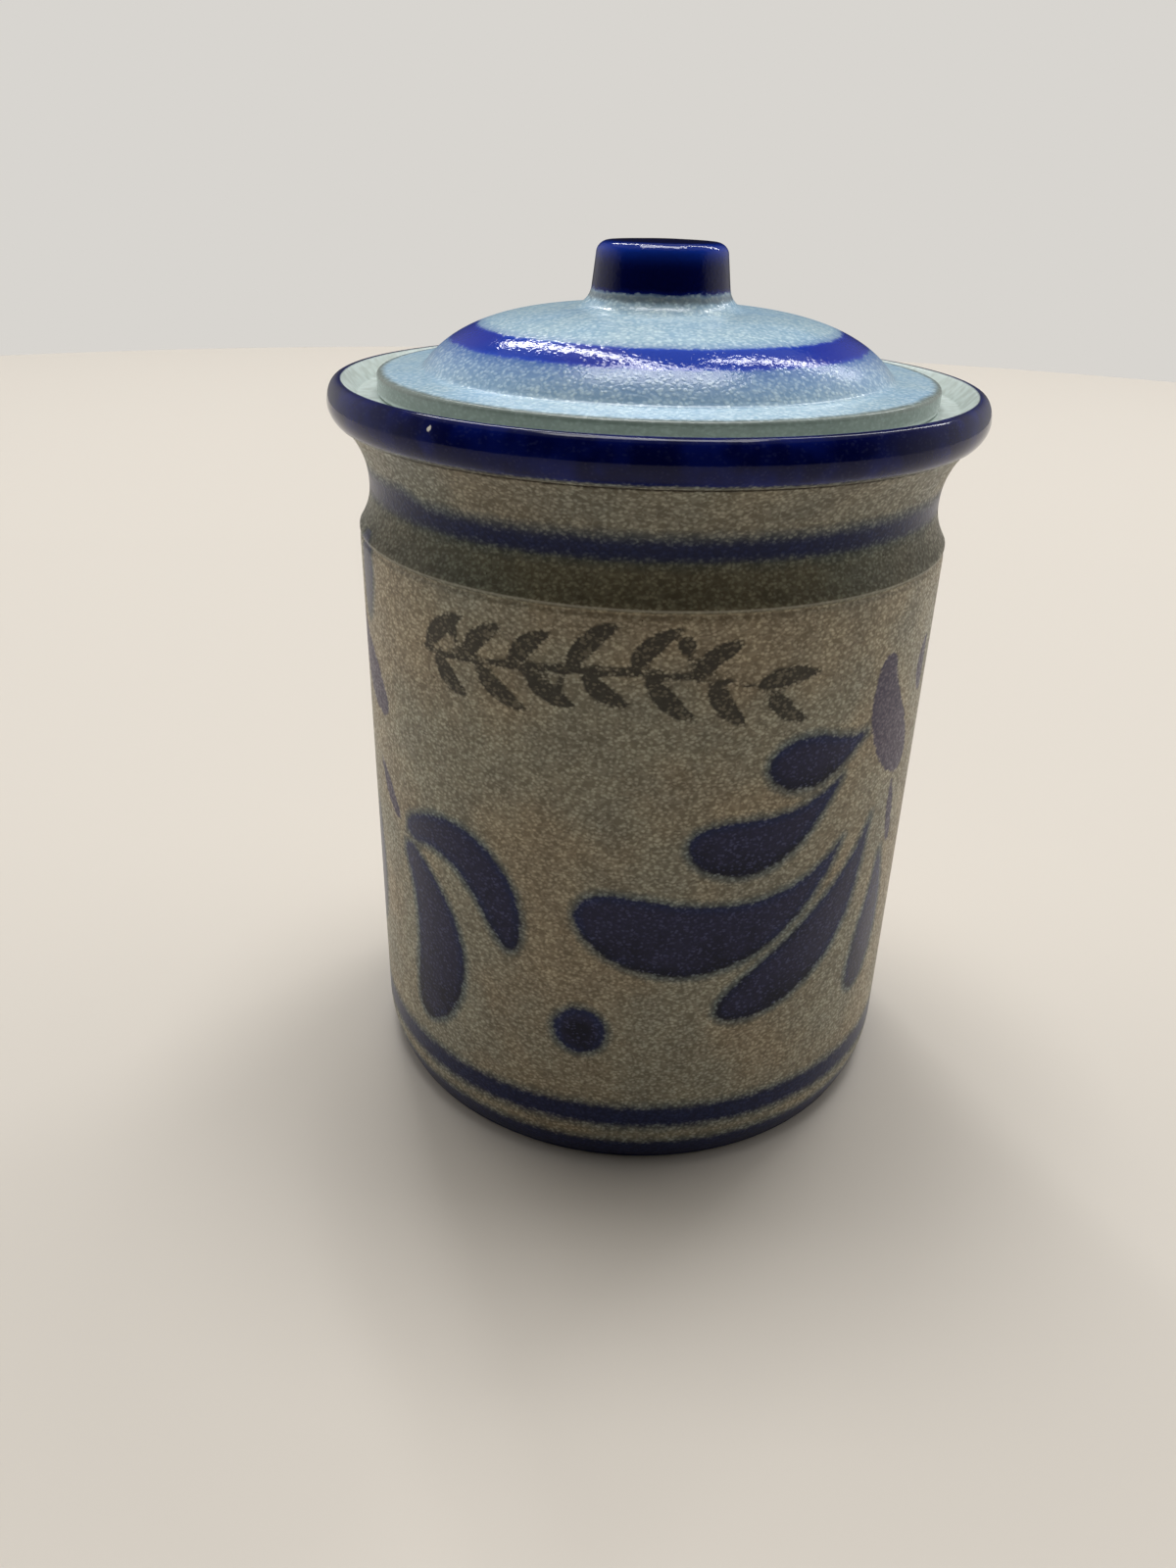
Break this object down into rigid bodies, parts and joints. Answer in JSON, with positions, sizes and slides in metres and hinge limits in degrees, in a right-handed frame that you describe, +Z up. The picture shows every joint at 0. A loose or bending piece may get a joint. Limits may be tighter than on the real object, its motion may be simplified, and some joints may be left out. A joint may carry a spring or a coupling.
{
  "type": "rumtopf pot",
  "caption": "Straight-sided stoneware crock with a collared rim, and a loose domed lid with a knob that sits on a ledge inside the rim.",
  "frame": {"origin": "centre of the foot, on the surface the pot stands on", "axes": "+Z up along the pot's axis, -Y towards the front of the painted design"},
  "size_m": [0.1596, 0.1596, 0.2181],
  "materials": {
    "crock_stoneware": "salt glaze, cobalt brushwork",
    "lid_stoneware": "salt glaze, cobalt brushwork"
  },
  "bodies": {
    "crock": {"crock": "crock_stoneware"},
    "lid": {"lid": "lid_stoneware"}
  },
  "joints": [
    {"name": "lid_lift", "type": "slide", "parent": "crock", "child": "lid", "axis": [0, 0, 1], "range_m": [0, 0.06]}
  ]
}
